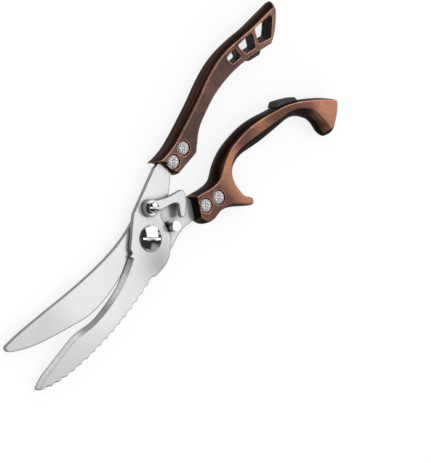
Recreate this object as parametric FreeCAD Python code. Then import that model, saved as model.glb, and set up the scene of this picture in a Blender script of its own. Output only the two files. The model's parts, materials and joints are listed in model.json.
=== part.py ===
# Poultry shears: two hinged stainless blades, two cast handles, a swinging lock latch.
# Millimetres.  +Z runs along the main pivot towards the screw heads, +X towards the blade tips
# and +Y from the palm handle to the finger handle.  Every piece is placed in the open position.
# The shapes are drawn round the main pivot, where it crosses the plane the blades shear on, and
# are moved by PIVOT_AT at the end: the part's origin is the middle of its underside.
import FreeCAD, Part
import math
import os

from FreeCAD import Vector

os.makedirs("parts", exist_ok=True)

# --- driving dimensions ---
PIVOT_AT = (19.0, 2.45, 6.0)   # the main pivot, from the middle of the underside
CLOSING_ANGLE = 15.0       # the rear half turns this far until the bumper pads meet
PLATE = 2.4                # blade plate thickness
RUN_GAP = 0.05             # gap from each plate to the shear plane
HANDLE_HALF = 6.0          # half the thickness of a handle
FIT = 0.02                 # gap round pieces that are fixed together
TANG_FIT = 0.05            # gap round a tang in its handle

PIVOT_R = 3.5              # main pivot shank
PIVOT_HEAD_R = 7.0
PIVOT_HEAD_H = 2.6
PIVOT_HEAD_RIM = 0.8       # straight part of the head's height, below its domed cap
PIVOT_THREAD_R = 3.0
PIVOT_SLOT = (1.3, 1.2)    # width and depth of the screwdriver slot
PIVOT_BORE = PIVOT_R + 0.05
SCREW_SLOT_TURN = 138.0    # direction of both screws' slots, in degrees from +X
NUT_FLATS = 12.0
NUT_H = 2.5
WASHER_H = 0.4
WASHER_R = 6.8

SPRING_WIRE_R = 0.5
SPRING_R = 7.0             # mean radius of the coil
SPRING_PITCH = 1.15
SPRING_TURNS = 1.4
POCKET_R = 8.4
POCKET_CORE_R = 5.4
POCKET_DEPTH = 1.35

LATCH_PIVOT = (-10.3, -13.0)
LATCH_BOTTOM = PLATE + 0.4
LATCH_H = 2.4
LATCH_SHOULDER_R = 2.2
LATCH_BORE = LATCH_SHOULDER_R + 0.05
LATCH_HEAD_R = 3.2
LATCH_HEAD_H = 2.9
LATCH_HEAD_RIM = 1.9
LATCH_THREAD_R = 2.0
LATCH_SLOT = (0.9, 0.8)
LATCH_HUB_R = 4.7
LATCH_COLLAR_R = 3.9

PIN_POS = (-15.4, 4.6)
PIN_R = 3.0
PIN_TOP = 6.6

RIVET_HEAD_R = 3.7
RIVET_SHANK_R = 2.0
RIVET_SEAT_R = 4.1
RIVET_SEAT_DEPTH = 1.3
RIVET_LOBES = 8

BEVEL_LAND = 0.3           # height left square along a cutting edge
TOOTH_PITCH = 5.5
TOOTH_DEPTH = 0.6
TOOTH_CUTTER_R = 5.0

FRONT_RIVETS = [(-37.8, -21.8), (-47.8, -22.8)]
REAR_RIVETS = [(-38.3, 10.1), (-47.7, 12.5)]


def vec(p, z=0.0):
    return Vector(p[0], p[1], z)


def spacing(points):
    """Distance along the points, used to space a curve's parameters."""
    steps = [0.0]
    for a, b in zip(points, points[1:]):
        steps.append(steps[-1] + math.hypot(b[0] - a[0], b[1] - a[1]))
    return steps


def edge_through(points, z=0.0, like=None):
    """A straight edge through two points, or a smooth curve through more.
    Curves given the same points as like have matching knots, which a loft needs."""
    vs = [vec(p, z) for p in points]
    if len(vs) == 2:
        return Part.makeLine(vs[0], vs[1])
    curve = Part.BSplineCurve()
    curve.interpolate(Points=vs, Parameters=spacing(like or points))
    return curve.toShape()


def closed_wire(runs, z=0.0, like=None):
    """Runs follow each other; each one starts where the run before it ended."""
    like = like or runs
    edges = []
    for i, run in enumerate(runs):
        points = [runs[i - 1][-1]] + run
        edges.append(edge_through(points, z, [like[i - 1][-1]] + like[i]))
    return Part.Wire(edges)


def plate(runs, z0, z1):
    return Part.Face(closed_wire(runs, z0)).extrude(Vector(0, 0, z1 - z0))


def slot_for(tang, z0, z1):
    """A slot that holds a tang with a small gap all round."""
    wire = Part.makePolygon([vec(p, z0 - FIT) for p in tang + tang[:1]])
    return Part.Face(wire).makeOffset2D(TANG_FIT).extrude(Vector(0, 0, z1 - z0 + 2 * FIT))


def disc(centre, r, z0, z1):
    return Part.makeCylinder(r, z1 - z0, vec(centre, z0))


def turned(p, degrees):
    a = math.radians(degrees)
    return (p[0] * math.cos(a) - p[1] * math.sin(a), p[0] * math.sin(a) + p[1] * math.cos(a))


def dome(centre, r, z0, height, rim):
    """A screw head: a short straight rim under a shallow spherical cap."""
    rise = height - rim
    ball = (r * r + rise * rise) / (2 * rise)
    sphere = Part.makeSphere(ball, vec(centre, z0 + height - ball))
    return disc(centre, r, z0, z0 + height + 1.0).common(sphere)


def slotted(screw, centre, top, slot):
    """The screw with a slot of the given width and depth cut across its head."""
    width, depth = slot
    length = 4 * PIVOT_HEAD_R
    cut = Part.makeBox(length, width, depth + 1.0, Vector(-length / 2, -width / 2, top - depth))
    cut.rotate(Vector(0, 0, 0), Vector(0, 0, 1), SCREW_SLOT_TURN)
    cut.translate(vec(centre))
    return screw.cut(cut)


def bevel_cutter(edge_points, inner_points, z_edge, z_inner, up):
    """The material to grind away between a cutting edge and the line the bevel starts from.
    The ground face runs on past the edge, so the cutter's own wall stays off the plate."""
    past = 0.3
    outer_points = [(e[0] + past * (e[0] - i[0]), e[1] + past * (e[1] - i[1]))
                    for e, i in zip(edge_points, inner_points)]
    outer = edge_through(outer_points, z_edge - past * (z_inner - z_edge))
    inner = edge_through(inner_points, z_inner)
    return Part.makeRuledSurface(outer, inner).extrude(Vector(0, 0, up))


# --- front plate: serrated blade, pivot boss and tang in one piece ---
FRONT_EDGE = [(17.5, -1.6), (29.6, 3.6), (43.4, 6.6), (52.5, 7.4), (61.4, 7.0), (68.7, 5.4),
              (73.7, 4.8), (82.0, 5.1), (94.0, 5.9), (106.3, 7.2), (111.2, 9.0)]
FRONT_BEVEL = [(15.5, 0.5), (27.6, 5.6), (41.5, 8.8), (52.1, 9.6), (62.2, 9.1), (70.3, 7.6),
               (74.6, 7.0), (82.3, 7.3), (94.0, 8.1), (105.0, 9.3), (110.4, 11.2)]
TOOTHED = [(12.6, 16.2), (28.0, 18.6), (44.4, 20.0), (60.0, 20.2), (77.0, 19.3), (90.7, 17.5),
           (101.0, 14.9), (107.5, 12.2)]
FRONT_TANG = [(-33.0, -16.2), (-54.0, -19.0), (-55.0, -25.0), (-42.0, -27.0), (-27.5, -26.3)]
front_runs = [
    [(109.8, 10.8)],
    TOOTHED[::-1],
    [(11.5, 17.1)],
    [(3.7, 17.2), (-2.5, 15.6), (-6.5, 12.6), (-10.8, 8.3), (-12.1, 4.2), (-12.9, -0.8)],
    [(-13.9, -4.6), (-17.0, -7.0), (-25.0, -9.4)],
] + [[p] for p in FRONT_TANG] + [
    [(-1.0, -17.4)],
    [(4.4, -13.0), (8.8, -9.1), (13.7, -4.9)],
    [(14.4, -2.2)],
    FRONT_EDGE,
]

front_blade = plate(front_runs, RUN_GAP, PLATE)
# the grind starts a little before the edge's first corner and runs out past the tip
front_ground = [(16.9, -1.75)] + FRONT_EDGE[1:-1] + [(111.6, 9.2)]
front_blade = front_blade.cut(
    bevel_cutter(front_ground, FRONT_BEVEL, BEVEL_LAND + RUN_GAP, PLATE + 0.01, 6.0)
)

# scallops ground into the outer edge, deeper at the top face
toothed_edge = edge_through(TOOTHED)
teeth = int(toothed_edge.Length / TOOTH_PITCH)
tooth_points = toothed_edge.discretize(2 * teeth + 1)
for i in range(1, 2 * teeth, 2):
    before, here, after = tooth_points[i - 1], tooth_points[i], tooth_points[i + 1]
    along = (after - before).normalize()
    out = Vector(-along.y, along.x, 0)
    centre = here + out * (TOOTH_CUTTER_R - TOOTH_DEPTH) + Vector(0, 0, -0.5)
    cutter = Part.makeCone(TOOTH_CUTTER_R - 0.6, TOOTH_CUTTER_R + 0.5, PLATE + 1.0, centre)
    front_blade = front_blade.cut(cutter)

# --- rear plate: plain blade, pivot boss and tang in one piece ---
REAR_EDGE = [(20.0, 1.5), (36.5, 4.3), (47.4, 5.0), (59.5, 3.8), (71.7, 0.2), (83.6, -3.7),
             (95.4, -8.2), (105.1, -13.3), (108.6, -15.6)]
REAR_BEVEL = [(20.5, -0.5), (36.5, 2.3), (47.3, 2.9), (58.8, 1.8), (71.0, -1.8), (82.8, -5.7),
              (94.4, -10.1), (103.8, -15.0), (107.0, -17.2)]
REAR_TANG = [(-34.4, -0.2), (-36.4, 4.8), (-56.0, 8.5), (-55.5, 16.0), (-44.0, 14.6),
             (-26.0, 12.2)]
rear_runs = [
    REAR_EDGE[1:],
    [(110.2, -17.4), (110.5, -19.2), (109.0, -20.3)],
    [(101.4, -19.8), (88.5, -18.2), (75.0, -16.2), (61.6, -14.1), (47.6, -12.3), (33.2, -11.1),
     (17.9, -11.0), (1.7, -13.5)],
    [(-6.0, -14.0)],
    [(-16.0, -9.8), (-26.0, -5.4)],
] + [[p] for p in REAR_TANG] + [
    [(-18.3, 11.8), (-13.8, 12.8), (-7.9, 14.4), (3.0, 13.6), (12.0, 8.0),
     (20.0, 1.5)],
]

rear_blade = plate(rear_runs, -PLATE, -RUN_GAP)
rear_blade = rear_blade.cut(
    bevel_cutter(REAR_EDGE, REAR_BEVEL, -BEVEL_LAND - RUN_GAP, -PLATE - 0.01, -6.0)
)

# --- main pivot: bores, spring pockets, screw, washer and nut ---
ORIGIN = (0.0, 0.0)
front_pocket = disc(ORIGIN, POCKET_R, -1.0, POCKET_DEPTH).cut(
    disc(ORIGIN, POCKET_CORE_R, -1.0, POCKET_DEPTH)
)
rear_pocket = disc(ORIGIN, POCKET_R, -POCKET_DEPTH, 1.0).cut(
    disc(ORIGIN, POCKET_CORE_R, -POCKET_DEPTH, 1.0)
)

coil_turns = SPRING_TURNS * 360.0
coil_rise = SPRING_PITCH * SPRING_TURNS
LEG_REACH = 10.2           # radius the two legs of the spring reach to
LEG_INSET = 6.0            # each leg leaves the coil this many degrees before its end
COIL_PARTS = 4             # the coil is swept in arcs shorter than one turn


def coil_point(degrees):
    a = math.radians(degrees)
    z = SPRING_PITCH * degrees / 360.0 - coil_rise / 2
    return Vector(SPRING_R * math.cos(a), SPRING_R * math.sin(a), z)


def coil_arc(index):
    """The edges of one of the coil's equal arcs."""
    arc = Part.makeHelix(SPRING_PITCH, coil_rise / COIL_PARTS, SPRING_R)
    start = coil_turns / COIL_PARTS * index
    arc.rotate(Vector(0, 0, 0), Vector(0, 0, 1), start)
    arc.translate(Vector(0, 0, coil_point(start).z))
    return arc.Edges


def leg(degrees):
    """A straight leg, pointing outwards from the middle of the wire."""
    start = coil_point(degrees)
    outward = Vector(start.x, start.y, 0).normalize()
    return Part.makeCylinder(SPRING_WIRE_R * 0.98, LEG_REACH - SPRING_R, start, outward)


def leg_slot(angle_from, angle_to, z0, z1):
    """A fan-shaped pocket for one leg of the spring."""
    sector = Part.makeCylinder(LEG_REACH + 0.6, z1 - z0, Vector(0, 0, z0), Vector(0, 0, 1),
                               angle_to - angle_from)
    sector.rotate(Vector(0, 0, 0), Vector(0, 0, 1), angle_from)
    return sector.cut(disc(ORIGIN, POCKET_CORE_R, z0, z1))


arcs = [edge for index in range(COIL_PARTS) for edge in coil_arc(index)]
wire_circle = Part.Wire(Part.makeCircle(SPRING_WIRE_R, coil_point(0.0), Vector(0, 1, 0)))
coil = Part.Wire(arcs).makePipeShell([wire_circle], True, True)
low_angle = LEG_INSET
high_angle = coil_turns - LEG_INSET
spring = coil.fuse(leg(low_angle)).fuse(leg(high_angle))

front_slot = leg_slot(high_angle - 366.0, high_angle - 354.0, -1.0, POCKET_DEPTH)
rear_slot = leg_slot(low_angle - CLOSING_ANGLE - 7.0, low_angle + 7.0, -POCKET_DEPTH, 1.0)

front_blade = front_blade.cut(disc(ORIGIN, PIVOT_R + FIT, -1, PLATE + 1))
front_blade = front_blade.cut(front_pocket).cut(front_slot)
rear_blade = rear_blade.cut(disc(ORIGIN, PIVOT_BORE, -PLATE - 1, 1))
rear_blade = rear_blade.cut(rear_pocket).cut(rear_slot)

nut_top = -PLATE - RUN_GAP - WASHER_H
nut_bottom = nut_top - NUT_H
pivot_screw = dome(ORIGIN, PIVOT_HEAD_R, PLATE, PIVOT_HEAD_H, PIVOT_HEAD_RIM)
pivot_screw = slotted(pivot_screw, ORIGIN, PLATE + PIVOT_HEAD_H, PIVOT_SLOT)
pivot_screw = pivot_screw.fuse(disc(ORIGIN, PIVOT_R, nut_top, PLATE))
pivot_screw = pivot_screw.fuse(disc(ORIGIN, PIVOT_THREAD_R, nut_bottom, nut_top))

pivot_washer = disc(ORIGIN, WASHER_R, nut_top + FIT, nut_top + WASHER_H)
pivot_washer = pivot_washer.cut(disc(ORIGIN, PIVOT_BORE, nut_top - 1, nut_top + 1))

hexagon = [Vector(NUT_FLATS / math.sqrt(3) * math.cos(math.radians(60 * i)),
                  NUT_FLATS / math.sqrt(3) * math.sin(math.radians(60 * i)),
                  nut_bottom) for i in range(7)]
pivot_nut = Part.Face(Part.makePolygon(hexagon)).extrude(Vector(0, 0, NUT_H))
pivot_nut = pivot_nut.common(dome(ORIGIN, 6.8, nut_bottom - 0.6, NUT_H + 1.6, 2.2)
                             .mirror(Vector(0, 0, nut_bottom + NUT_H / 2), Vector(0, 0, 1)))
pivot_nut = pivot_nut.cut(disc(ORIGIN, PIVOT_THREAD_R + FIT, nut_bottom - 1, nut_top + 1))

# --- lock latch: hub, arm and finger in one plate, with its screw and washers ---
latch_runs = [
    [(-31.8, -7.2)],
    [(-32.7, -5.0), (-31.9, -2.8), (-30.7, -1.1), (-27.8, 2.0), (-25.6, 4.0)],
    [(-23.9, 4.9), (-22.4, 4.5), (-22.0, 3.2), (-22.4, 2.1)],
    [(-23.8, 0.0), (-24.8, -1.5)],
    [(-25.2, -3.0), (-24.0, -4.4), (-22.0, -5.6)],
    [(-20.0, -6.2), (-17.5, -6.9), (-14.0, -8.2)],
    [(-10.0, -9.0)],
    [(-11.6, -17.0)],
    [(-18.5, -12.2), (-23.4, -9.8)],
]
latch_top = LATCH_BOTTOM + LATCH_H
latch_lever = plate(latch_runs, LATCH_BOTTOM, latch_top)
latch_lever = latch_lever.fuse(disc(LATCH_PIVOT, LATCH_HUB_R, LATCH_BOTTOM, latch_top))
latch_lever = latch_lever.removeSplitter()
latch_lever = latch_lever.cut(disc(LATCH_PIVOT, LATCH_BORE, 0, latch_top + 1))

SHOULDER_TOP = latch_top + 0.5
latch_screw = dome(LATCH_PIVOT, LATCH_HEAD_R, SHOULDER_TOP, LATCH_HEAD_H, LATCH_HEAD_RIM)
latch_screw = slotted(latch_screw, LATCH_PIVOT, SHOULDER_TOP + LATCH_HEAD_H, LATCH_SLOT)
latch_screw = latch_screw.fuse(disc(LATCH_PIVOT, LATCH_SHOULDER_R, PLATE, SHOULDER_TOP))
latch_screw = latch_screw.fuse(disc(LATCH_PIVOT, LATCH_THREAD_R, 0.3, PLATE))
front_blade = front_blade.cut(disc(LATCH_PIVOT, LATCH_THREAD_R + FIT, -1, PLATE + 1))


def latch_ring(r, z0, z1):
    ring = disc(LATCH_PIVOT, r, z0 + FIT, z1 - FIT)
    return ring.cut(disc(LATCH_PIVOT, LATCH_BORE, z0 - 1, z1 + 1))


latch_washer = latch_ring(LATCH_COLLAR_R + 0.4, PLATE, LATCH_BOTTOM)
latch_collar = latch_ring(LATCH_COLLAR_R, latch_top, SHOULDER_TOP)

# --- catch pin pressed into the rear plate, standing up past the edge of the front plate ---
PIN_FOOT_R = 2.0
catch_pin = disc(PIN_POS, PIN_R, -RUN_GAP, PIN_TOP)
rim = [e for e in catch_pin.Edges if abs(e.CenterOfMass.z - PIN_TOP) < 0.01]
catch_pin = catch_pin.makeChamfer(0.3, rim)
catch_pin = catch_pin.fuse(disc(PIN_POS, PIN_FOOT_R, -PLATE, -RUN_GAP))
rear_blade = rear_blade.cut(disc(PIN_POS, PIN_FOOT_R + FIT, -PLATE - 1, 1))


# --- handles ---
# Each run holds pairs: the outline at mid thickness and the matching point on the flat face.
front_handle_runs = [
    [((-43.5, -28.8), (-45.2, -28.1)), ((-60.0, -32.8), (-59.6, -31.6)),
     ((-73.5, -37.0), (-72.6, -35.2)), ((-85.0, -40.5), (-84.0, -39.0)),
     ((-97.0, -43.0), (-97.0, -41.9)), ((-107.0, -43.7), (-106.5, -42.3)),
     ((-117.0, -43.2), (-116.0, -41.4)), ((-126.0, -41.9), (-125.0, -40.3)),
     ((-136.5, -41.2), (-135.5, -39.6)), ((-149.2, -41.0), (-145.4, -38.8))],
    [((-148.0, -37.4), (-146.0, -37.6)), ((-142.8, -31.6), (-141.4, -32.4)),
     ((-137.0, -27.0), (-136.3, -28.3)), ((-131.5, -24.2), (-131.2, -25.6))],
    [((-120.6, -27.0), (-120.8, -28.3)), ((-109.3, -29.4), (-109.4, -30.4)),
     ((-101.0, -30.2), (-101.3, -31.2)), ((-91.8, -30.1), (-92.0, -31.1)),
     ((-81.2, -28.7), (-81.6, -29.8)), ((-70.2, -25.6), (-70.9, -26.7)),
     ((-62.6, -22.8), (-63.4, -23.8)), ((-56.6, -18.7), (-57.6, -19.6)),
     ((-52.0, -14.2), (-52.8, -15.4))],
    [((-36.3, -13.6), (-37.3, -15.0))],
    [((-33.6, -16.4), (-35.4, -17.2))],
    [((-32.8, -20.5), (-35.4, -21.5)), ((-30.6, -26.8), (-33.6, -25.6)),
     ((-27.6, -29.6), (-31.8, -27.6))],
]
rear_handle_runs = [
    [((-48.0, 4.1), (-47.8, 5.8)), ((-53.8, 3.8), (-54.5, 6.0)), ((-58.0, 1.0), (-60.0, 3.3)),
     ((-65.0, -2.0), (-67.5, 0.0)), ((-72.5, -3.6), (-73.5, -1.3)),
     ((-81.0, -4.0), (-81.5, -1.6)), ((-89.0, -3.5), (-89.0, -1.2)),
     ((-97.5, -1.6), (-97.8, 0.5)), ((-105.5, 1.3), (-106.0, 2.8)),
     ((-115.0, 4.6), (-115.5, 6.0)), ((-125.0, 9.9), (-125.0, 11.2)),
     ((-133.0, 15.4), (-133.0, 16.8)), ((-139.5, 20.7), (-139.2, 22.0)),
     ((-145.3, 26.8), (-144.0, 27.0))],
    [((-140.3, 33.0), (-139.3, 31.8)), ((-135.6, 36.6), (-134.8, 34.8)),
     ((-130.6, 38.8), (-132.0, 36.2)), ((-126.6, 37.3), (-130.6, 35.3)),
     ((-125.0, 33.5), (-130.2, 32.6)), ((-125.5, 28.8), (-130.0, 27.8)),
     ((-124.9, 24.5), (-129.2, 22.6)), ((-122.5, 20.0), (-127.3, 18.3)),
     ((-118.8, 16.2), (-123.0, 14.0)), ((-113.5, 13.9), (-117.0, 10.8)),
     ((-106.5, 12.9), (-108.0, 8.7)), ((-98.9, 12.0), (-98.9, 6.8)),
     ((-90.0, 10.5), (-89.5, 4.9)), ((-81.5, 8.5), (-80.0, 3.1)),
     ((-74.5, 7.4), (-73.0, 3.0)), ((-68.5, 8.4), (-67.5, 4.8)),
     ((-64.4, 11.5), (-63.3, 8.4)), ((-62.5, 16.0), (-61.3, 13.0)),
     ((-62.4, 21.5), (-60.9, 19.0)), ((-64.8, 26.5), (-62.3, 25.5)),
     ((-66.8, 29.8), (-63.8, 28.4)), ((-65.4, 32.0), (-62.9, 29.8)),
     ((-61.5, 30.6), (-60.0, 28.3)), ((-54.6, 25.2), (-53.8, 22.3)),
     ((-49.5, 22.0), (-48.9, 19.4)), ((-44.5, 20.4), (-44.0, 18.6)),
     ((-37.0, 20.2), (-37.4, 19.0)), ((-31.6, 17.2), (-33.0, 16.0))],
    [((-30.2, 13.6), (-31.6, 12.8))],
    [((-36.8, 1.6), (-37.2, 2.6))],
]


def handle_outline(runs, z):
    """The outline at height z: full at mid thickness, drawn in as z nears a face."""
    t = (z / HANDLE_HALF) ** 2
    return [
        [(g[0] + (f[0] - g[0]) * t, g[1] + (f[1] - g[1]) * t) for g, f in run] for run in runs
    ]


def handle(runs):
    levels = [-1.0, -0.8, -0.5, 0.0, 0.5, 0.8, 1.0]
    wires = []
    girth = handle_outline(runs, 0.0)
    for level in levels:
        z = level * HANDLE_HALF
        wires.append(closed_wire(handle_outline(runs, z), z, girth))
    return Part.makeLoft(wires, True, True)


TALL = HANDLE_HALF + 1.0


def window(points, radius, lean):
    """A hole right through a handle. It leans by lean from its front face to its back face."""
    reach = TALL / HANDLE_HALF
    front = [(p[0] + lean[0] * (1 - reach) / 2, p[1] + lean[1] * (1 - reach) / 2) for p in points]
    wire = closed_wire([[p] for p in front], TALL)
    block = Part.Face(wire).extrude(Vector(lean[0] * reach, lean[1] * reach, -2 * TALL))
    upright = [e for e in block.Edges if abs(e.tangentAt(e.FirstParameter).z) > 0.9]
    return block.makeFillet(radius, upright)


front_handle = handle(front_handle_runs)
rear_handle = handle(rear_handle_runs)

# each window's outline on the front face, and how far it has moved on the back face
WINDOWS = [
    ([(-128.0, -38.8), (-141.0, -37.4), (-140.8, -35.4), (-132.9, -28.1), (-124.3, -31.0)],
     (-2.6, 0.2)),
    ([(-113.0, -39.5), (-124.2, -38.8), (-124.6, -37.2), (-121.4, -31.0), (-114.1, -32.8)],
     (-2.8, 1.2)),
    ([(-102.6, -39.4), (-110.6, -40.0), (-110.6, -33.6), (-103.5, -34.6)], (-3.0, 1.8)),
]
for points, lean in WINDOWS:
    front_handle = front_handle.cut(window(points, 0.9, lean))

# slots for the tangs
front_handle = front_handle.cut(slot_for(FRONT_TANG, RUN_GAP, PLATE))
rear_handle = rear_handle.cut(slot_for(REAR_TANG, -PLATE, -RUN_GAP))


def rivet(centre):
    """A through rivet with lobed heads sunk into the handle faces."""
    seat = HANDLE_HALF - RIVET_SEAT_DEPTH
    top = HANDLE_HALF - 0.05
    body = disc(centre, RIVET_SHANK_R, -seat, seat)
    for side in (1, -1):
        head = dome(centre, RIVET_HEAD_R, seat, top - seat, 0.7)
        for i in range(RIVET_LOBES):
            a = 2 * math.pi * i / RIVET_LOBES
            at = (centre[0] + 2.5 * math.cos(a), centre[1] + 2.5 * math.sin(a))
            head = head.cut(disc(at, 0.45, top - 0.45, top + 1))
        head = head.cut(disc(centre, 0.6, top - 0.35, top + 1))
        if side < 0:
            head = head.mirror(Vector(0, 0, 0), Vector(0, 0, 1))
        body = body.fuse(head)
    return body


def with_rivet_holes(solid, centres):
    for centre in centres:
        solid = solid.cut(disc(centre, RIVET_SHANK_R + FIT, -TALL, TALL))
        for z0, z1 in [(HANDLE_HALF - RIVET_SEAT_DEPTH - FIT, TALL),
                       (-TALL, -HANDLE_HALF + RIVET_SEAT_DEPTH + FIT)]:
            solid = solid.cut(disc(centre, RIVET_SEAT_R, z0, z1))
    return solid


front_handle = with_rivet_holes(front_handle, FRONT_RIVETS)
rear_handle = with_rivet_holes(rear_handle, REAR_RIVETS)
for centre in FRONT_RIVETS:
    front_blade = front_blade.cut(disc(centre, RIVET_SHANK_R + FIT, -1, PLATE + 1))
for centre in REAR_RIVETS:
    rear_blade = rear_blade.cut(disc(centre, RIVET_SHANK_R + FIT, -PLATE - 1, 1))
front_rivets = Part.makeCompound([rivet(c) for c in FRONT_RIVETS])
rear_rivets = Part.makeCompound([rivet(c) for c in REAR_RIVETS])

# --- bumper pads: their flat faces lie on one line when the shears are closed ---
PAD_Z = 4.0
PAD_GAP = 0.06
PAD_FACE = [(-122.0, -25.4), (-114.5, -27.4)]
front_pad_runs = [[PAD_FACE[0]], [PAD_FACE[1]], [(-111.8, -29.6)], [(-112.0, -30.6)],
                  [(-124.6, -28.2)], [(-124.4, -26.6)]]
rear_face = [turned((p[0], p[1] + PAD_GAP), -CLOSING_ANGLE) for p in PAD_FACE]
rear_pad_runs = [[rear_face[0]], [(-124.8, 8.8)], [(-124.5, 12.0)], [(-112.0, 6.0)],
                 [(-111.0, 3.0)], [(-114.0, 1.4)], [rear_face[1]]]


def pad_and_seat(runs, solid):
    pad = plate(runs, -PAD_Z, PAD_Z)
    upright = [e for e in pad.Edges if abs(e.tangentAt(e.FirstParameter).z) > 0.9]
    pad = pad.makeFillet(0.6, upright)
    pad = pad.cut(solid)
    return pad


front_pad = pad_and_seat(front_pad_runs, front_handle)
rear_pad = pad_and_seat(rear_pad_runs, rear_handle)

NODES = {
    "front_blade": front_blade,
    "rear_blade": rear_blade,
    "front_handle": front_handle,
    "rear_handle": rear_handle,
    "front_pad": front_pad,
    "rear_pad": rear_pad,
    "front_rivets": front_rivets,
    "rear_rivets": rear_rivets,
    "pivot_screw": pivot_screw,
    "pivot_washer": pivot_washer,
    "pivot_nut": pivot_nut,
    "opening_spring": spring,
    "latch_lever": latch_lever,
    "latch_screw": latch_screw,
    "latch_washer": latch_washer,
    "latch_collar": latch_collar,
    "catch_pin": catch_pin,
}
for name, shape in NODES.items():
    shape.translate(Vector(*PIVOT_AT))
    shape.exportStep("parts/" + name + ".step")
    print(name, shape.isValid(), len(shape.Solids), round(shape.Volume, 2))
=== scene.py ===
import json
import math

import bmesh
import bpy
import numpy as np
from mathutils import Matrix, Vector, noise


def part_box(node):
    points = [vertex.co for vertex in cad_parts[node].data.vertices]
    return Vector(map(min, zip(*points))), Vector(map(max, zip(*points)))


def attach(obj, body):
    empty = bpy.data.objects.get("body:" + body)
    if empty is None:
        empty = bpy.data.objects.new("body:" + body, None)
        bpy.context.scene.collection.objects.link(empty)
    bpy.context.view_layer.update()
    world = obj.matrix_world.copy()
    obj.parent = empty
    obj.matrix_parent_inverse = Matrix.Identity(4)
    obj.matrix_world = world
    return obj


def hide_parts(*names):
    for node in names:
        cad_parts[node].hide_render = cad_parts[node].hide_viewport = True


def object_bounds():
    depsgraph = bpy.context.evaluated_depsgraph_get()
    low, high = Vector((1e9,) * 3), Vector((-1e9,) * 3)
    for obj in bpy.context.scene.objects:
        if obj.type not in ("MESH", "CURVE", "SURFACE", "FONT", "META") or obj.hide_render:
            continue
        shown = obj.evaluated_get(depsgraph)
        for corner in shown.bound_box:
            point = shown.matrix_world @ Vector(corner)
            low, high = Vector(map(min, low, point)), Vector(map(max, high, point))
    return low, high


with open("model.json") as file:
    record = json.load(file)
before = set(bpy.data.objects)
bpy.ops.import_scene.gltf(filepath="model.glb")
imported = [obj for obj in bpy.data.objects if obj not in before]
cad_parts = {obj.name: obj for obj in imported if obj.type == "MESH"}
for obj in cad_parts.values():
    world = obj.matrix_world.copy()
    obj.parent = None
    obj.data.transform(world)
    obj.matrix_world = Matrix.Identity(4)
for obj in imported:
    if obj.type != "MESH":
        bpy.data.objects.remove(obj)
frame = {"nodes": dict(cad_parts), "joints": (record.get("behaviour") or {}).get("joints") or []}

# Metres, in the CAD frame: +Z towards the screw heads, +X towards the blade tips,
# +Y from the palm handle (front) to the finger handle (rear).
MM = 0.001
X, Y, Z = range(3)
NODES = frame["nodes"]
JOINTS = {joint["name"]: joint for joint in frame["joints"]}
PIVOT = Vector(JOINTS["main_pivot"]["pos_m"])
CAD_BOX = [list(corner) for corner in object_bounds()]


def span(node):
    """The middle, lowest corner and highest corner of a CAD node, in metres."""
    low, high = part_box(node)
    return (low + high) / 2, low, high


def turned(degrees, axis):
    """A turn about the axis named by a letter."""
    return Matrix.Rotation(math.radians(degrees), 4, axis)


# --- node trees -------------------------------------------------------------------------------


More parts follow.
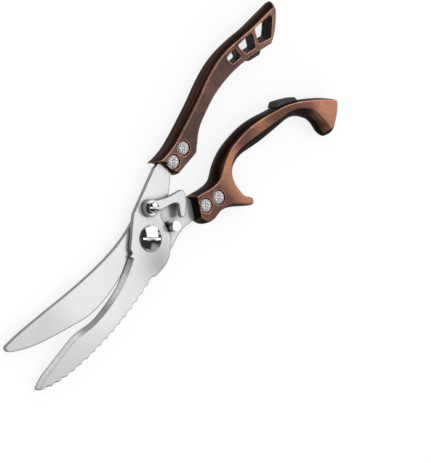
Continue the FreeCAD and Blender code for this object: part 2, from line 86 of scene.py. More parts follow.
class Graph:
    """Short calls for building a node tree. A value is either a number, a colour or a socket."""

    def __init__(self, tree):
        self.tree = tree
        tree.nodes.clear()

    def feed(self, socket, value):
        if isinstance(value, bpy.types.NodeSocket):
            self.tree.links.new(value, socket)
        else:
            socket.default_value = value

    def add(self, kind, inputs, **settings):
        made = self.tree.nodes.new(kind)
        for key, value in settings.items():
            setattr(made, key, value)
        for key, value in inputs.items():
            self.feed(made.inputs[key], value)
        return made

    def math(self, operation, a, b=0.0):
        return self.add("ShaderNodeMath", {0: a, 1: b}, operation=operation).outputs[0]

    def plus(self, a, b):
        return self.math("ADD", a, b)

    def times(self, a, b):
        return self.math("MULTIPLY", a, b)

    def larger(self, a, b):
        return self.math("MAXIMUM", a, b)

    def step(self, value, low, high, out_low=0.0, out_high=1.0):
        """A smooth step from out_low to out_high as value goes from low to high."""
        made = self.add("ShaderNodeMapRange", {}, interpolation_type="SMOOTHSTEP")
        for index, v in enumerate((value, low, high, out_low, out_high)):
            self.feed(made.inputs[index], v)
        return made.outputs[0]

    def window(self, value, low, high, soft):
        """1 between low and high, falling smoothly to 0 over soft on each side."""
        rise = self.step(value, low - soft, low + soft)
        fall = self.step(value, high - soft, high + soft, 1.0, 0.0)
        return self.times(rise, fall)

    def mix(self, share, a, b):
        """Colour a where share is 0, colour b where it is 1."""
        made = self.add("ShaderNodeMix", {}, data_type="RGBA")
        self.feed(made.inputs[0], share)
        self.feed(made.inputs[6], rgba(a))
        self.feed(made.inputs[7], rgba(b))
        return made.outputs[2]

    def place(self):
        return self.add("ShaderNodeTexCoord", {}).outputs["Object"]

    def normal(self):
        return self.add("ShaderNodeNewGeometry", {}).outputs["Normal"]

    def noise(self, scale, detail, stretch=(1.0, 1.0, 1.0), rotate=0.0):
        """Noise in object space. A scale of 1000 gives cells about a millimetre across."""
        mapped = self.add("ShaderNodeMapping", {"Vector": self.place(), "Scale": stretch,
                                                "Rotation": (0.0, 0.0, rotate)})
        made = self.add("ShaderNodeTexNoise",
                        {"Vector": mapped.outputs[0], "Scale": scale, "Detail": detail})
        return made.outputs["Fac"]

    def from_pivot(self, index):
        """Millimetres from the main pivot along one axis."""
        offset = self.math("SUBTRACT", self.axis(self.place(), index), PIVOT[index])
        return self.times(offset, 1.0 / MM)

    def axis(self, vector, index):
        return self.add("ShaderNodeSeparateXYZ", {"Vector": vector}).outputs[index]

    def dot(self, vector, direction):
        made = self.add("ShaderNodeVectorMath", {0: vector, 1: direction},
                        operation="DOT_PRODUCT")
        return made.outputs["Value"]

    def attribute(self, name):
        return self.add("ShaderNodeAttribute", {}, attribute_name=name).outputs["Fac"]

    def shelter(self, distance, dark, clear, own=False):
        """How much nearby surfaces close off the light: 1 where the open share is down to dark,
        0 where it is above clear. With own set, only the piece's own surfaces count."""
        made = self.add("ShaderNodeAmbientOcclusion", {"Distance": distance}, samples=8,
                        only_local=own)
        return self.step(made.outputs["AO"], dark, clear, 1.0, 0.0)

    def rim(self, radius):
        """1 within about radius of an outer edge, 0 on open surfaces."""
        rounded = self.add("ShaderNodeBevel", {"Radius": radius}, samples=6).outputs[0]
        return self.step(self.dot(rounded, self.normal()), 0.92, 0.985, 1.0, 0.0)

    def bump(self, height, distance, strength):
        made = self.add("ShaderNodeBump",
                        {"Height": height, "Distance": distance, "Strength": strength})
        return made.outputs[0]


def rgba(value):
    """A colour with its alpha added; sockets and full colours are left alone."""
    if isinstance(value, bpy.types.NodeSocket) or len(value) == 4:
        return value
    return (*value, 1.0)


def material(name, paint):
    """A material whose node tree paint(graph) fills; paint returns the Principled inputs."""
    made = bpy.data.materials.new(name)
    made.use_nodes = True
    graph = Graph(made.node_tree)
    shader = graph.add("ShaderNodeBsdfPrincipled", paint(graph))
    graph.add("ShaderNodeOutputMaterial", {"Surface": shader.outputs[0]})
    return made


def facing_up(graph):
    """How far the surface faces along Z: 1 on the flat faces, 0 on upright walls."""
    return graph.math("ABSOLUTE", graph.axis(graph.normal(), Z))


def steel(level):
    """A grey with steel's faint blue cast."""
    return (level, level, level + 0.01)


# Places along a material's piece are millimetres from the main pivot, and colours are linear.
# Painted shade colours: one for where pieces meet, one for the outer edges.
PAINTED_CORNER_SHADE = (0.05, 0.05, 0.05)
PAINTED_EDGE_SHADE = (0.07, 0.07, 0.07)


def blade_steel(graph):
    """Satin stainless: fine lengthwise grain on the flats and bevels ground crosswise, with two
    painted glints on the bevels, painted shade towards the tips and past the hub, and painted
    shade where pieces meet and along the outer edges."""
    up = facing_up(graph)
    flat = graph.step(up, 0.985, 0.997)
    wall = graph.step(up, 0.45, 0.85, 1.0, 0.0)
    x = graph.from_pivot(X)
    y = graph.from_pivot(Y)
    grain = graph.noise(2600.0, 2.0, (0.03, 1.0, 1.0))
    ground = graph.noise(1300.0, 3.0, (1.0, 0.08, 0.08))
    cloud = graph.noise(24.0, 1.0)

    face = graph.mix(graph.step(cloud, 0.35, 0.65), steel(0.68), steel(0.80))
    face = graph.mix(graph.step(grain, 0.3, 0.7, 0.0, 0.08), face, steel(0.50))
    # Painted shade: darker towards the tips and just past the hub.
    painted_shade_to_tip = graph.step(x, 60.0, 108.0, 0.0, 0.50)
    painted_shade_past_hub = graph.times(graph.window(x, -4.0, 12.0, 9.0), graph.step(y, -2.0, 14.0))
    for shade in (painted_shade_to_tip, painted_shade_past_hub):
        face = graph.mix(shade, face, steel(0.42))

    # Painted highlights: two bright glints along the bevels, with painted shade between them.
    glint = graph.plus(graph.window(x, 22.0, 42.0, 8.0), graph.step(x, 64.0, 74.0))
    bevel = graph.mix(glint, steel(0.30), steel(0.95))
    bevel = graph.mix(graph.step(ground, 0.35, 0.65, 0.0, 0.25), bevel, steel(0.30))
    slope = graph.mix(wall, bevel, steel(0.38))

    colour = graph.mix(flat, slope, face)
    # Painted shade where pieces meet.
    painted_corner_shade = graph.times(graph.shelter(6.5 * MM, 0.25, 0.9), 0.92)
    colour = graph.mix(painted_corner_shade, colour, PAINTED_CORNER_SHADE)
    # Painted shade along the outer edges.
    colour = graph.mix(graph.times(graph.rim(1.3 * MM), 0.85), colour, PAINTED_EDGE_SHADE)
    return {
        "Base Color": colour,
        "Metallic": graph.step(flat, 0.0, 1.0, 0.45, 0.72),
        "Roughness": graph.step(flat, 0.0, 1.0, 0.38, 0.28),
        "Normal": graph.bump(grain, 0.000003, 0.08),
    }


def chrome(graph):
    """Mirror bright with faint smudges, and painted shade where it stands close to other pieces."""
    smudge = graph.noise(260.0, 3.0)
    colour = graph.mix(smudge, (0.86, 0.86, 0.88), (0.93, 0.93, 0.94))
    # Painted shade near other pieces.
    return {
        "Base Color": graph.mix(graph.shelter(5.0 * MM, 0.3, 0.8), colour, (0.03, 0.03, 0.03)),
        "Metallic": 1.0,
        "Roughness": graph.step(smudge, 0.35, 0.8, 0.035, 0.09),
    }


def spring_steel(graph):
    """Plain spring steel with drawing marks."""
    drawn = graph.noise(700.0, 3.0)
    return {
        "Base Color": graph.mix(drawn, steel(0.34), steel(0.55)),
        "Metallic": 1.0,
        "Roughness": graph.step(drawn, 0.2, 0.8, 0.25, 0.4),
        "Normal": graph.bump(drawn, 0.00001, 0.4),
    }


def rivet_silver(graph):
    """Bright raised pattern with a dark wash left in its hollows."""
    speck = graph.noise(1800.0, 2.0)
    hollow = graph.step(graph.attribute("relief"), 0.15, 0.65, 1.0, 0.0)
    stain = graph.times(hollow, graph.step(speck, 0.3, 0.6, 0.5, 0.85))
    return {
        "Base Color": graph.mix(stain, (1.0, 0.98, 0.98), (0.20, 0.18, 0.18)),
        "Metallic": 0.8,
        "Roughness": graph.step(speck, 0.2, 0.8, 0.22, 0.38),
    }


def pad_rubber(graph):
    """Dark matt rubber with a fine grit."""
    grit = graph.noise(1400.0, 4.0)
    return {
        "Base Color": graph.mix(grit, (0.016, 0.012, 0.013), (0.045, 0.034, 0.036)),
        "Roughness": graph.step(grit, 0.3, 0.7, 0.42, 0.6),
        "Normal": graph.bump(grit, 0.00004, 0.5),
    }


# Edge colour for wear and painted highlight.
WORN_EDGE_AND_HIGHLIGHT = (0.78, 0.38, 0.25)
# Near black for painted shade in creases.
PAINTED_CREASE_SHADE = (0.010, 0.006, 0.006)


def copper_casting(bright, dull, painted_wall_highlight, bright_share):
    """Antique copper plate: burnished on the faces, worn bright with a painted highlight on the
    edges and near black on the walls, with a painted highlight band of a given colour half way
    down the walls; painted shade on the sides facing +Y and +X, in creases and where surfaces
    close in. bright_share(graph, x) says where along the handle the faces are burnished
    brightest."""

    def paint(graph):
        x = graph.from_pivot(X)
        normal = graph.normal()
        cloud = graph.noise(70.0, 4.0)
        fine = graph.noise(1900.0, 4.0, (0.5, 1.0, 1.0), 0.3)

        burnish = graph.plus(bright_share(graph, x), graph.step(cloud, 0.3, 0.7, -0.2, 0.2))
        face_colour = graph.mix(burnish, dull, bright)
        wall_colour = graph.mix(cloud, (0.014, 0.005, 0.004), (0.050, 0.015, 0.011))
        # Painted highlight: a band half way down the walls.
        painted_highlight_band = graph.window(graph.from_pivot(Z), -1.5, 1.5, 1.6)
        painted_highlight_band = graph.times(painted_highlight_band, graph.step(cloud, 0.25, 0.6, 0.4, 1.0))
        wall_colour = graph.mix(painted_highlight_band, wall_colour, painted_wall_highlight)
        colour = graph.mix(graph.step(facing_up(graph), 0.45, 0.93), wall_colour, face_colour)

        # Painted shade: the sides that face +Y and +X are made dark.
        painted_shade_away = graph.larger(graph.step(graph.axis(normal, Y), 0.08, 0.45),
                            graph.step(graph.axis(normal, X), 0.6, 0.85))
        colour = graph.mix(graph.times(painted_shade_away, 0.95), colour, (0.012, 0.006, 0.005))

        # Edge wear and painted highlight on the convex edges, less on the painted-shade sides.
        convex = graph.attribute("convex")
        wear_and_highlight = graph.times(graph.step(convex, 0.16, 0.5), graph.step(cloud, 0.25, 0.6, 0.5, 1.0))
        wear_and_highlight = graph.times(wear_and_highlight, graph.step(painted_shade_away, 0.0, 1.0, 1.0, 0.25))
        colour = graph.mix(wear_and_highlight, colour, WORN_EDGE_AND_HIGHLIGHT)
        # Painted shade in concave creases.
        colour = graph.mix(graph.step(convex, -0.7, -0.15, 0.85, 0.0), colour, PAINTED_CREASE_SHADE)
        colour = graph.mix(graph.step(fine, 0.3, 0.7, 0.0, 0.22), colour, (0.05, 0.03, 0.026))
        # Painted shade where the casting's own surfaces or nearby pieces close in.
        painted_shade_closed = graph.larger(graph.shelter(12.0 * MM, 0.35, 0.8, True),
                              graph.shelter(4.0 * MM, 0.2, 0.7))
        return {
            "Base Color": graph.mix(painted_shade_closed, colour, (0.004, 0.002, 0.002)),
            "Metallic": 0.92,
            "Roughness": graph.step(fine, 0.2, 0.8, 0.32, 0.46),
            "Normal": graph.bump(fine, 0.00002, 0.5),
        }

    return paint


def palm_burnish(graph, x):
    """Brighter at the tail."""
    return graph.step(x, -128.0, -112.0, 0.75, 0.15)


def finger_burnish(graph, x):
    """Brightest at the neck and the tail, less so in between."""
    neck = graph.window(x, -72.0, -57.0, 7.0)
    middle = graph.times(graph.window(x, -104.0, -88.0, 8.0), 0.45)
    tail = graph.step(x, -136.0, -124.0, 1.0, 0.0)
    return graph.larger(graph.larger(neck, tail), middle)


palm_copper = copper_casting(bright=(0.36, 0.20, 0.155), dull=(0.110, 0.066, 0.056),
                             painted_wall_highlight=(0.17, 0.045, 0.030), bright_share=palm_burnish)
finger_copper = copper_casting(bright=(0.60, 0.27, 0.17), dull=(0.17, 0.082, 0.062),
                               painted_wall_highlight=(0.050, 0.022, 0.017), bright_share=finger_burnish)

BLADE_STEEL = material("blade_steel", blade_steel)
CHROME = material("screw_chrome", chrome)
SPRING_STEEL = material("spring_steel", spring_steel)
RIVET_SILVER = material("rivet_silver", rivet_silver)
PAD_RUBBER = material("pad_rubber", pad_rubber)
PALM_COPPER = material("copper_palm", palm_copper)
FINGER_COPPER = material("copper_finger", finger_copper)


# --- mesh work --------------------------------------------------------------------------------


def stand_for(node, name, mesh, body, finish):
    """A finished piece in a CAD node's place: it gets its material and rides on its body."""
    piece = bpy.data.objects.new(name, mesh)
    bpy.context.scene.collection.objects.link(piece)
    mesh.materials.clear()
    mesh.materials.append(finish)
    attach(piece, body)
    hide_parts(node)


def set_smooth(mesh, sharp_angle=None):
    """Smooth shading, with edges sharper than sharp_angle (degrees) kept sharp."""
    work = bmesh.new()
    work.from_mesh(mesh)
    for face in work.faces:
        face.smooth = True
    if sharp_angle is not None:
        for edge in work.edges:
            edge.smooth = edge.calc_face_angle(0.0) < math.radians(sharp_angle)
    work.to_mesh(mesh)
    work.free()


def welded(node):
    """A CAD node's mesh, open for editing, with its doubled vertices joined."""
    work = bmesh.new()
    work.from_mesh(NODES[node].data)
    bmesh.ops.remove_doubles(work, verts=work.verts, dist=1e-7)
    return work


def remeshed(node, voxel):
    """A new mesh with the node's shape, in even quads of the given size."""
    work = welded(node)
    mesh = bpy.data.meshes.new(node + "_remeshed")
    work.to_mesh(mesh)
    work.free()
    holder = bpy.data.objects.new("holder", mesh)
    bpy.context.scene.collection.objects.link(holder)
    modifier = holder.modifiers.new("remesh", "REMESH")
    modifier.mode = "VOXEL"
    modifier.voxel_size = voxel
    modifier.adaptivity = 0.0
    graph = bpy.context.evaluated_depsgraph_get()
    result = bpy.data.meshes.new_from_object(holder.evaluated_get(graph))
    bpy.data.objects.remove(holder)
    result.name = node + "_skin"
    return result


def positions(mesh):
    """The vertices' places, one row each."""
    flat = np.empty(len(mesh.vertices) * 3)
    mesh.vertices.foreach_get("co", flat)
    return flat.reshape(-1, 3)


def normals(mesh):
    """The vertices' normals, one row each."""
    flat = np.empty(len(mesh.vertices) * 3, np.float32)
    mesh.vertex_normals.foreach_get("vector", flat)
    return flat.reshape(-1, 3).astype(float)


def edge_pairs(mesh):
    """Each edge in both directions, as two arrays of vertex numbers."""
    flat = np.empty(len(mesh.edges) * 2, int)
    mesh.edges.foreach_get("vertices", flat)
    pairs = flat.reshape(-1, 2)
    return (np.concatenate([pairs[:, 0], pairs[:, 1]]),
            np.concatenate([pairs[:, 1], pairs[:, 0]]))


def neighbour_mean(values, pairs, count):
    """The mean over each vertex's neighbours of one value per pair."""
    total = np.bincount(pairs[0], weights=values, minlength=count)
    return total / np.maximum(np.bincount(pairs[0], minlength=count), 1)


def relaxed(points, pairs, weight, rounds):
    """Points moved towards the mean of their neighbours, rounds times."""
    points = points.copy()
    for _ in range(rounds):
        for axis in (X, Y, Z):
            mean = neighbour_mean(points[pairs[1], axis], pairs, len(points))
            points[:, axis] += weight * 0.5 * (mean - points[:, axis])
    return points


def store(mesh, name, values):
    """Keeps one value per vertex, for a material to read."""
    layer = mesh.attributes.new(name, "FLOAT", "POINT")
    layer.data.foreach_set("value", values.astype(np.float32))


def place_vertices(mesh, points):
    mesh.vertices.foreach_set("co", points.astype(np.float32).ravel())
    mesh.update()


def convexity(mesh, pairs, reach, rounds):
    """About +1 on an outer edge of radius reach, 0 on a flat, -1 in a groove."""
    points = positions(mesh)
    directions = normals(mesh)
    step = points[pairs[1]] - points[pairs[0]]
    turn = directions[pairs[1]] - directions[pairs[0]]
    bend = (turn * step).sum(1) / np.maximum((step * step).sum(1), 1e-12)
    value = neighbour_mean(bend, pairs, len(points)) * reach
    for _ in range(rounds):
        value = 0.5 * value + 0.5 * neighbour_mean(value[pairs[1]], pairs, len(points))
    return value


def distance_to_axes(points, centres):
    """Distance in plan from each point to the nearest of some upright axes."""
    gaps = [np.hypot(points[:, X] - c.x, points[:, Y] - c.y) for c in centres]
    return np.min(gaps, axis=0)


# --- rivets -----------------------------------------------------------------------------------


def islands(node):
    """Plan centres of the separate solids in a CAD node, from blade end to tail."""
    work = welded(node)
    left = set(work.verts)
    centres = []
    while left:
        reached = [left.pop()]
        for vert in reached:
            for edge in vert.link_edges:
                other = edge.other_vert(vert)
                if other in left:
                    left.discard(other)
                    reached.append(other)
        low = Vector([min(vert.co[axis] for vert in reached) for axis in (X, Y, Z)])
        high = Vector([max(vert.co[axis] for vert in reached) for axis in (X, Y, Z)])
        centres.append((low + high) / 2)
    work.free()
    return sorted(centres, key=lambda c: -c.x)


FRONT_RIVETS = islands("front_rivets")
REAR_RIVETS = islands("rear_rivets")
RIVET_MIDDLE, RIVET_LOW, RIVET_HIGH = span("front_rivets")
RIVET_RADIUS = RIVET_HIGH.y - FRONT_RIVETS[0].y
RIVET_HEAD = 1.25 * MM
HEAD_EDGE = 1.04 * MM
HEAD_CROWN = 0.208 * MM    # how much higher the middle is than the edge
EDGE_FALL = 0.286 * MM     # how far the very edge is rounded off
RELIEF_DEPTH = 0.26 * MM
RIVET_SEAT = (RIVET_HIGH.z - RIVET_LOW.z) / 2 - RIVET_HEAD
SHANK_RADIUS = 2.0 * MM

# The raised pattern in a head. Lengths are shares of the head's radius.
PETALS = 8
BOSS_RADIUS = 0.17
LEAF_START = 0.16
LEAF_END = 0.88
LEAF_SPREAD = 0.30         # half a leaf's width at its widest, in radians
VEIN_WIDTH = 0.035
BEADS_AT = 0.82
BEAD_RADIUS = 0.11
RIM_START = 0.92

HEAD_RINGS = 30
RIVET_SEGMENTS = PETALS * 24
RIVET_ANGLES = [2 * math.pi * k / RIVET_SEGMENTS for k in range(RIVET_SEGMENTS)]


def ramp(value, low, high):
    """0 up to low, 1 from high on, and a straight line between them."""
    return min(max((value - low) / (high - low), 0.0), 1.0)


def rivet_relief(r, angle):
    """Raised pattern from 0 to 1: a boss, veined leaves, a bead between each pair and a rim."""
    turn = math.pi / PETALS
    off = abs((angle + turn) % (2 * turn) - turn)
    leaf_width = LEAF_SPREAD * math.sin(math.pi * ramp(r, LEAF_START, LEAF_END))
    leaf = ramp(leaf_width - off, 0.0, 0.10)
    vein = math.exp(-((off * r) / VEIN_WIDTH) ** 2)
    bead_gap = math.hypot(r * math.cos(turn - off) - BEADS_AT, r * math.sin(turn - off))
    bead = ramp(BEAD_RADIUS - bead_gap, 0.0, 0.05)
    boss = ramp(BOSS_RADIUS - r, 0.0, 0.05)
    lobes = 0.5 + 0.5 * math.cos(2 * PETALS * angle)
    rim = ramp(r, RIM_START, RIM_START + 0.04) * lobes
    return max(leaf * (1.0 - 0.45 * vein), 0.85 * bead, boss, 0.7 * rim)


def head_height(r, raised):
    """How far a head stands above its seat: a shallow crown, rounded off at its edge."""
    crown = HEAD_EDGE + HEAD_CROWN * math.sqrt(max(0.0, 1.0 - r ** 2))
    fall = EDGE_FALL * ramp(r, 0.95, 1.0)
    return min(crown - fall - RELIEF_DEPTH * (1.0 - raised), RIVET_HEAD)


def head_rings(side):
    """Rings of (radius, z, relief) for the head on one side (1 or -1), from its centre out and
    in again to the shank."""
    rings = []
    for i in range(1, HEAD_RINGS + 1):
        share = i / HEAD_RINGS
        relief = [rivet_relief(share, angle) for angle in RIVET_ANGLES]
        rings.append([(share * RIVET_RADIUS, head_height(share, raised), raised)
                      for raised in relief])
    for radius in (RIVET_RADIUS, SHANK_RADIUS):
        rings.append([(radius, 0.0, 1.0)] * RIVET_SEGMENTS)
    return [[(radius, RIVET_MIDDLE.z + side * (RIVET_SEAT + rise), raised)
             for radius, rise, raised in ring] for ring in rings]


def rivet_mesh(name, centres):
    """Through rivets: patterned heads on both faces, joined by a shank."""
    rings = head_rings(1) + head_rings(-1)[::-1]
    verts, faces, relief = [], [], []
    for centre in centres:
        start = len(verts)
        for ring in rings:
            for angle, (radius, z, raised) in zip(RIVET_ANGLES, ring):
                verts.append((centre.x + radius * math.cos(angle),
                              centre.y + radius * math.sin(angle), z))
                relief.append(raised)
        around = [(k, (k + 1) % RIVET_SEGMENTS) for k in range(RIVET_SEGMENTS)]
        for j in range(len(rings) - 1):
            inner = start + j * RIVET_SEGMENTS
            outer = inner + RIVET_SEGMENTS
            for k, n in around:
                faces.append((inner + k, outer + k, outer + n, inner + n))
        last = start + (len(rings) - 1) * RIVET_SEGMENTS
        for first, underneath in ((start, False), (last, True)):
            middle = len(verts)
            verts.append((centre.x, centre.y, verts[first][2]))
            relief.append(1.0)
            for k, n in around:
                if underneath:
                    k, n = n, k
                faces.append((middle, first + k, first + n))
    mesh = bpy.data.meshes.new(name)
    mesh.from_pydata(verts, [], faces)
    store(mesh, "relief", np.array(relief))
    set_smooth(mesh, 50.0)
    return mesh


for node, body, centres in (("front_rivets", "front_half", FRONT_RIVETS),
                            ("rear_rivets", "rear_half", REAR_RIVETS)):
    stand_for(node, node + "_dressed", rivet_mesh(node, centres), body,
              RIVET_SILVER)


# --- slotted screws ---------------------------------------------------------------------------

SLOT_TURN = 138.0          # from +X round to both slots, in degrees
PIVOT_HEAD_RIM = 0.8 * MM
PIVOT_SLOT = (1.3 * MM, 1.2 * MM)
PIVOT_THREAD_DEPTH = 0.5 * MM
PIVOT_CHAMFER = 0.4 * MM
LATCH_HEAD_RIM = 1.9 * MM
LATCH_HEAD_HEIGHT = 2.9 * MM
LATCH_SLOT = (0.9 * MM, 0.8 * MM)
LATCH_SHOULDER = 2.2 * MM
LATCH_THREAD = 2.0 * MM

# The slot's rounded edge: distance from the slot's middle line in half slot widths, and how
# much of the slot's depth the surface has dropped there.
SLOT_EDGE = ((0.5, 1.0), (0.86, 1.0), (0.97, 0.9), (1.0, 0.15), (1.05, 0.04), (1.14, 0.0))


def head_rows(radius, half_slot):
    """Rows across a head, as (distance from the slot's middle line, share of its depth)."""
    rows = [(side * half_slot * share, drop) for side in (-1, 1) for share, drop in SLOT_EDGE]
    dome = [radius * math.sin(math.radians(a)) for a in np.linspace(-87.5, 87.5, 73)]
    rows += [(y, 0.0) for y in dome if abs(y) > 1.3 * half_slot]
    return sorted(rows)


def slotted_screw(name, centre, head, slot, shaft):
    """A domed, slotted screw. head: (radius, base z, rim height, full height); slot: (width,
    depth); shaft: (radius, z) steps going down."""
    radius, base, rim, height = head
    width, depth = slot
    rise = height - rim
    ball = (radius ** 2 + rise ** 2) / (2 * rise)
    floor = base + height - depth
    rows = head_rows(radius, width / 2)
    columns = np.linspace(-1, 1, 61)
    verts, faces = [], []
    for y, drop in rows:
        reach = math.sqrt(radius ** 2 - y ** 2)
        for x in reach * columns:
            dome = base + height - ball + math.sqrt(max(0.0, ball ** 2 - x * x - y * y))
            verts.append((x, y, dome - drop * max(0.0, dome - floor)))
    wide = len(columns)
    for j in range(len(rows) - 1):
        for a in range(j * wide, j * wide + wide - 1):
            faces.append((a, a + 1, a + wide + 1, a + wide))

    # The head's outline, once round, is carried down each step of the shaft.
    last = (len(rows) - 1) * wide
    loop = list(range(wide)) + [j * wide + wide - 1 for j in range(1, len(rows))]
    loop += [last + i for i in range(wide - 2, -1, -1)]
    loop += [j * wide for j in range(len(rows) - 2, 0, -1)]
    count = len(loop)
    for ring_radius, z in shaft:
        start = len(verts)
        for index in loop:
            x, y, _ = verts[index]
            scale = ring_radius / math.hypot(x, y)
            verts.append((x * scale, y * scale, z))
        for k in range(count):
            n = (k + 1) % count
            faces.append((loop[n], loop[k], start + k, start + n))
        loop = list(range(start, start + count))
    tip = len(verts)
    verts.append((0.0, 0.0, shaft[-1][1]))
    for k in range(count):
        faces.append((loop[(k + 1) % count], loop[k], tip))

    mesh = bpy.data.meshes.new(name)
    mesh.from_pydata(verts, [], faces)
    mesh.transform(Matrix.Translation((centre.x, centre.y, 0.0)) @ turned(SLOT_TURN, "Z"))
    set_smooth(mesh, 38.0)
    return mesh


def place_screw(node, head, slot, shaft):
    """Puts a slotted screw in a CAD screw's place."""
    mesh = slotted_screw(node, span(node)[0], head, slot, shaft)
    stand_for(node, node + "_dressed", mesh, "front_half", CHROME)


def place_pivot_screw(plate_top):
    """The main screw: its head sits on the front plate, and the nut takes its thread."""
    middle, low, high = span("pivot_screw")
    radius = high.x - middle.x
    shank = radius / 2
    thread = shank - PIVOT_THREAD_DEPTH
    nut_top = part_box("pivot_nut")[1].z
    shaft = [(radius, plate_top), (shank, plate_top), (shank, nut_top), (thread, nut_top),
             (thread, low.z + PIVOT_CHAMFER), (thread - PIVOT_CHAMFER, low.z)]
    place_screw("pivot_screw", (radius, plate_top, PIVOT_HEAD_RIM, high.z - plate_top),
                PIVOT_SLOT, shaft)


def place_latch_screw(plate_top):
    """The latch's screw: its head sits on a shoulder that the latch turns round."""
    middle, low, high = span("latch_screw")
    radius = high.x - middle.x
    base = high.z - LATCH_HEAD_HEIGHT
    shaft = [(radius, base), (LATCH_SHOULDER, base), (LATCH_SHOULDER, plate_top),
             (LATCH_THREAD, plate_top), (LATCH_THREAD, low.z)]
    place_screw("latch_screw", (radius, base, LATCH_HEAD_RIM, LATCH_HEAD_HEIGHT), LATCH_SLOT,
                shaft)


PLATE_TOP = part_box("front_blade")[1].z
place_pivot_screw(PLATE_TOP)
place_latch_screw(PLATE_TOP)


# --- cast handles -----------------------------------------------------------------------------

HANDLE_VOXEL = 0.3 * MM
PALM_MOUTH = 28.0          # from the main pivot to the mouth that takes the tang, in millimetres
FINGER_MOUTH = 30.0
SEAT_CRISP = 5.0           # out to this radius round a rivet the edges stay sharp
CAST_WAVE = 0.06 * MM      # the surface wanders in by twice this at most
EDGE_RADIUS = 0.9 * MM

# The groove along the palm handle's outer side, in millimetres from the main pivot.
GROOVE_TAIL = -112.0
GROOVE_NECK = -46.0
GROOVE_HEIGHT = 3.9
GROOVE_SPREAD = 0.8
GROOVE_DEPTH = 0.55


def from_pivot_mm(points, axis):
    """Millimetres from the main pivot along one axis."""
    return (points[:, axis] - PIVOT[axis]) / MM


def handle_skin(node, rivets, mouth):
    """The casting with its edges rounded; crisp only at the rivet seats and the tang mouth."""
    mesh = remeshed(node, HANDLE_VOXEL)
    points = positions(mesh)
    seat_gap = distance_to_axes(points, rivets) / MM
    mouth_gap = -mouth - from_pivot_mm(points, X)
    soft = np.clip((seat_gap - SEAT_CRISP) / 2.5, 0.12, 1.0)
    soft = np.minimum(soft, np.clip(mouth_gap / 4.0, 0.3, 1.0))
    place_vertices(mesh, relaxed(points, edge_pairs(mesh), soft, 4))
    return mesh


def ridge_groove(mesh):
    """A groove along the palm handle's outer side, just under the edge of its flat face."""
    points = positions(mesh)
    directions = normals(mesh)
    x = from_pivot_mm(points, X)
    off = (from_pivot_mm(points, Z) - GROOVE_HEIGHT) / GROOVE_SPREAD
    along = np.clip((x - GROOVE_TAIL) / 20.0, 0.0, 1.0) * np.clip((GROOVE_NECK - x) / 8.0, 0.0, 1.0)
    outer = np.clip((-directions[:, Y] - 0.3) / 0.3, 0.0, 1.0)
    depth = GROOVE_DEPTH * MM * np.exp(-off ** 2) * along * outer
    place_vertices(mesh, points - directions * depth[:, None])


def cast_surface(mesh):
    """The slight waviness of a casting, and how convex it is, for the edge wear, painted highlight
    and painted crease shade to follow.
    """
    points = positions(mesh)
    wave = np.array([noise.noise(Vector(point) * 90.0) for point in points])
    place_vertices(mesh, points - normals(mesh) * (CAST_WAVE * (1.0 + wave))[:, None])
    store(mesh, "convex", convexity(mesh, edge_pairs(mesh), EDGE_RADIUS, 2))
    set_smooth(mesh)


palm = handle_skin("front_handle", FRONT_RIVETS, PALM_MOUTH)
ridge_groove(palm)
cast_surface(palm)
stand_for("front_handle", "palm_handle_casting", palm, "front_half", PALM_COPPER)

finger = handle_skin("rear_handle", REAR_RIVETS, FINGER_MOUTH)
cast_surface(finger)
stand_for("rear_handle", "finger_handle_casting", finger, "rear_half",
          FINGER_COPPER)


# --- latch and pads ---------------------------------------------------------------------------


def softened(node, voxel, rounds):
    """The node's shape with its edges rounded over, more so with more rounds."""
    mesh = remeshed(node, voxel)
    place_vertices(mesh, relaxed(positions(mesh), edge_pairs(mesh), 1.0, rounds))
    set_smooth(mesh)
    return mesh


stand_for("latch_lever", "latch_lever_stamped", softened("latch_lever", 0.16 * MM, 5), "latch",
          BLADE_STEEL)
stand_for("front_pad", "front_bumper", softened("front_pad", 0.16 * MM, 8), "front_half",
          PAD_RUBBER)
stand_for("rear_pad", "rear_bumper", softened("rear_pad", 0.2 * MM, 10), "rear_half",
          PAD_RUBBER)


# --- CAD nodes that stay ----------------------------------------------------------------------

CARRIED_OVER = {
    "front_blade": BLADE_STEEL,
    "rear_blade": BLADE_STEEL,
    "pivot_washer": SPRING_STEEL,
    "latch_washer": SPRING_STEEL,
    "opening_spring": SPRING_STEEL,
    "pivot_nut": CHROME,
    "latch_collar": CHROME,
    "catch_pin": CHROME,
}

for node, finish in CARRIED_OVER.items():
    slots = NODES[node].data.materials
    slots.clear()
    slots.append(finish)


# --- floor, light and camera ------------------------------------------------------------------

FLOOR_SIZE = 8.0
FLOOR_GLOW = 0.8           # share of the floor's white that is its own light
FLOOR_IN_METAL = 0.30

SOFTBOX = 1.45
STUDIO_TURN = 138.0        # from +X round to the softbox's width, in degrees

AIM = PIVOT + Vector((-35.2, 25.9, 2.8)) * MM
CAMERA_TURN = 50.5         # about +Z, in degrees
CAMERA_TILT = 37.0         # off the main pivot's axis
CAMERA_ROLL = 87.5         # about the line of sight
CAMERA_DISTANCE = 6.0
PIXELS_PER_MM = 1.85
PICTURE_HEIGHT = 463
SENSOR = 36.0


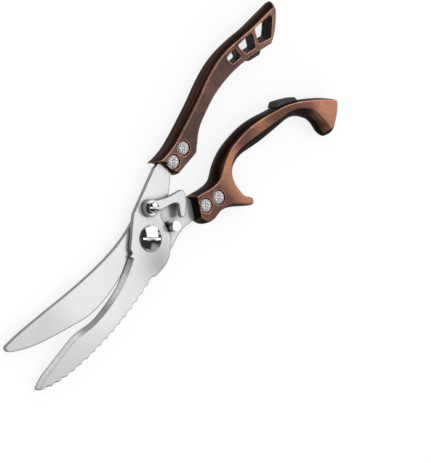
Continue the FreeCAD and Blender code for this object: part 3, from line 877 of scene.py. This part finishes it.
def add_floor():
    """A white sheet that glows a little; metal sees it darker than the camera does."""
    bpy.ops.mesh.primitive_grid_add(x_subdivisions=4, y_subdivisions=4, size=FLOOR_SIZE,
                                    location=(0.0, 0.0, CAD_BOX[0][2]))
    floor = bpy.context.object
    floor.name = "studio_floor"
    made = bpy.data.materials.new("studio_floor")
    made.use_nodes = True
    graph = Graph(made.node_tree)
    seen_in_metal = graph.add("ShaderNodeLightPath", {}).outputs["Is Glossy Ray"]
    paper = graph.add("ShaderNodeBsdfDiffuse", {"Color": (0.9, 0.9, 0.9, 1.0)})
    glow = graph.add("ShaderNodeEmission", {"Color": (1.0, 1.0, 1.0, 1.0)})
    pale = graph.add("ShaderNodeMixShader",
                     {0: FLOOR_GLOW, 1: paper.outputs[0], 2: glow.outputs[0]})
    dim = graph.add("ShaderNodeEmission", {"Color": rgba((FLOOR_IN_METAL,) * 3)})
    both = graph.add("ShaderNodeMixShader",
                     {0: seen_in_metal, 1: pale.outputs[0], 2: dim.outputs[0]})
    graph.add("ShaderNodeOutputMaterial", {"Surface": both.outputs[0]})
    floor.data.materials.append(made)


def room_light(graph):
    """What metal sees: a large softbox, a card, pale walls at both ends and a dim room."""
    looking = graph.add("ShaderNodeTexCoord", {}).outputs["Generated"]
    turn = math.radians(STUDIO_TURN)
    across = graph.dot(looking, (math.cos(turn), math.sin(turn), 0.0))
    along = graph.dot(looking, (-math.sin(turn), math.cos(turn), 0.0))
    height = graph.axis(looking, Z)
    box = graph.times(graph.window(across, 0.12, 0.90, 0.05),
                      graph.window(along, -0.03, 0.70, 0.04))
    box = graph.times(box, graph.step(height, 0.05, 0.15))
    card = graph.times(graph.step(across, 0.40, 0.60), graph.step(along, -0.40, -0.15, 0.30, 0.0))
    near_wall = graph.step(along, -0.72, -0.58, 0.55, 0.0)
    far_wall = graph.times(graph.step(along, 0.72, 0.92), 0.85)
    dim = graph.step(height, -0.2, 0.3, 0.16, 0.03)
    lit = graph.plus(graph.times(box, SOFTBOX), graph.larger(card, near_wall))
    return graph.plus(lit, graph.plus(far_wall, dim))


def add_studio():
    """White all round for the camera and for matt surfaces, and room_light for metal."""
    world = bpy.data.worlds.new("studio")
    bpy.context.scene.world = world
    world.use_nodes = True
    world.cycles.sampling_method = "NONE"
    graph = Graph(world.node_tree)
    light = room_light(graph)
    level = graph.add("ShaderNodeCombineColor", {0: light, 1: light, 2: light}).outputs[0]
    path = graph.add("ShaderNodeLightPath", {})
    room = graph.mix(path.outputs["Is Glossy Ray"], (1.14, 1.14, 1.14), level)
    room = graph.mix(path.outputs["Is Camera Ray"], room, (1.0, 1.0, 1.0))
    background = graph.add("ShaderNodeBackground", {"Color": room})
    graph.add("ShaderNodeOutputWorld", {"Surface": background.outputs[0]})


def add_camera():
    """A camera CAMERA_DISTANCE away with AIM in the middle of its picture."""
    data = bpy.data.cameras.new("camera")
    data.sensor_width = SENSOR
    data.lens = PIXELS_PER_MM / MM * SENSOR * CAMERA_DISTANCE / PICTURE_HEIGHT
    data.clip_end = 100.0
    camera = bpy.data.objects.new("camera", data)
    bpy.context.scene.collection.objects.link(camera)
    facing = turned(CAMERA_TURN, "Z") @ turned(CAMERA_TILT, "X") @ turned(CAMERA_ROLL, "Z")
    back = Matrix.Translation((0.0, 0.0, CAMERA_DISTANCE))
    camera.matrix_world = Matrix.Translation(AIM) @ facing @ back
    bpy.context.scene.camera = camera


add_floor()
add_studio()
add_camera()
bpy.context.scene.view_settings.view_transform = "Standard"
